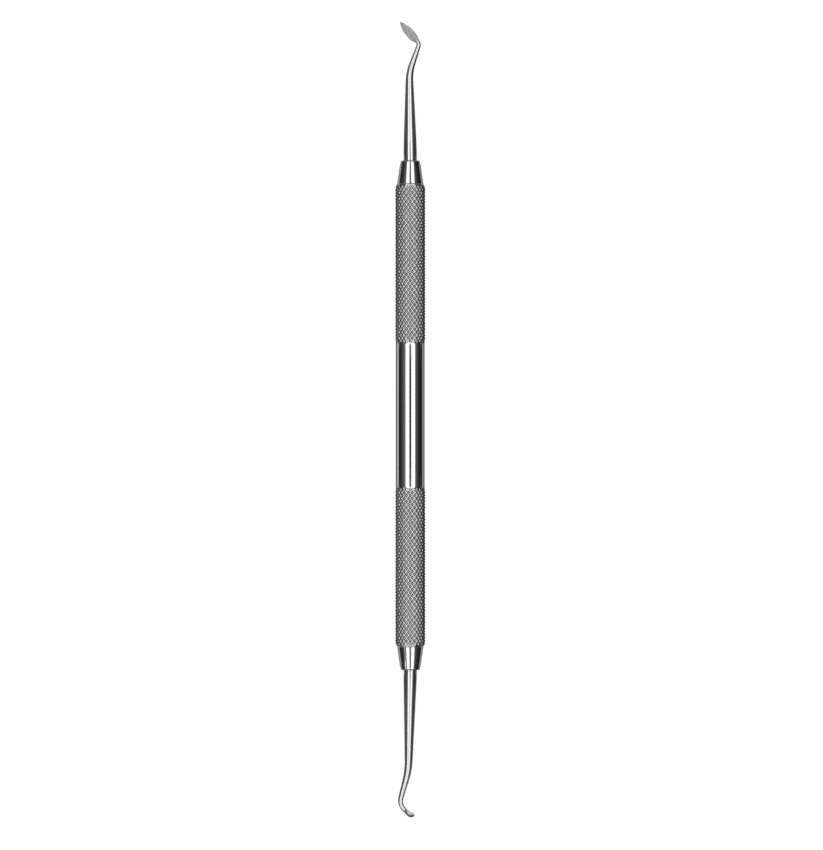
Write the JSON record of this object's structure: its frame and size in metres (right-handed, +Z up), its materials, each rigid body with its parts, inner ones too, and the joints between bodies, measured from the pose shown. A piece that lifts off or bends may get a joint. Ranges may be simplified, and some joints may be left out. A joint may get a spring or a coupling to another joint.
{
  "type": "cleoid-discoid carver",
  "caption": "Double-ended dental hand instrument with a knurled round handle, a leaf-shaped cleoid blade and a round discoid blade.",
  "frame": {"origin": "middle of the handle, on its axis, as the instrument lies on a level surface", "axes": "+Y along the handle's axis towards the cleoid end, +Z up from the surface that it lies on, +X to the right seen from above with the cleoid end away from the viewer"},
  "size_m": [0.0064, 0.1673, 0.0064],
  "materials": {
    "handle_steel": "turned and polished stainless steel with two satin diamond-knurled grips",
    "tip_steel": "polished stainless steel shanks with fine-ground satin blades"
  },
  "bodies": {
    "root": {"handle": "handle_steel", "cleoid_tip": "tip_steel", "discoid_tip": "tip_steel"}
  },
  "joints": []
}
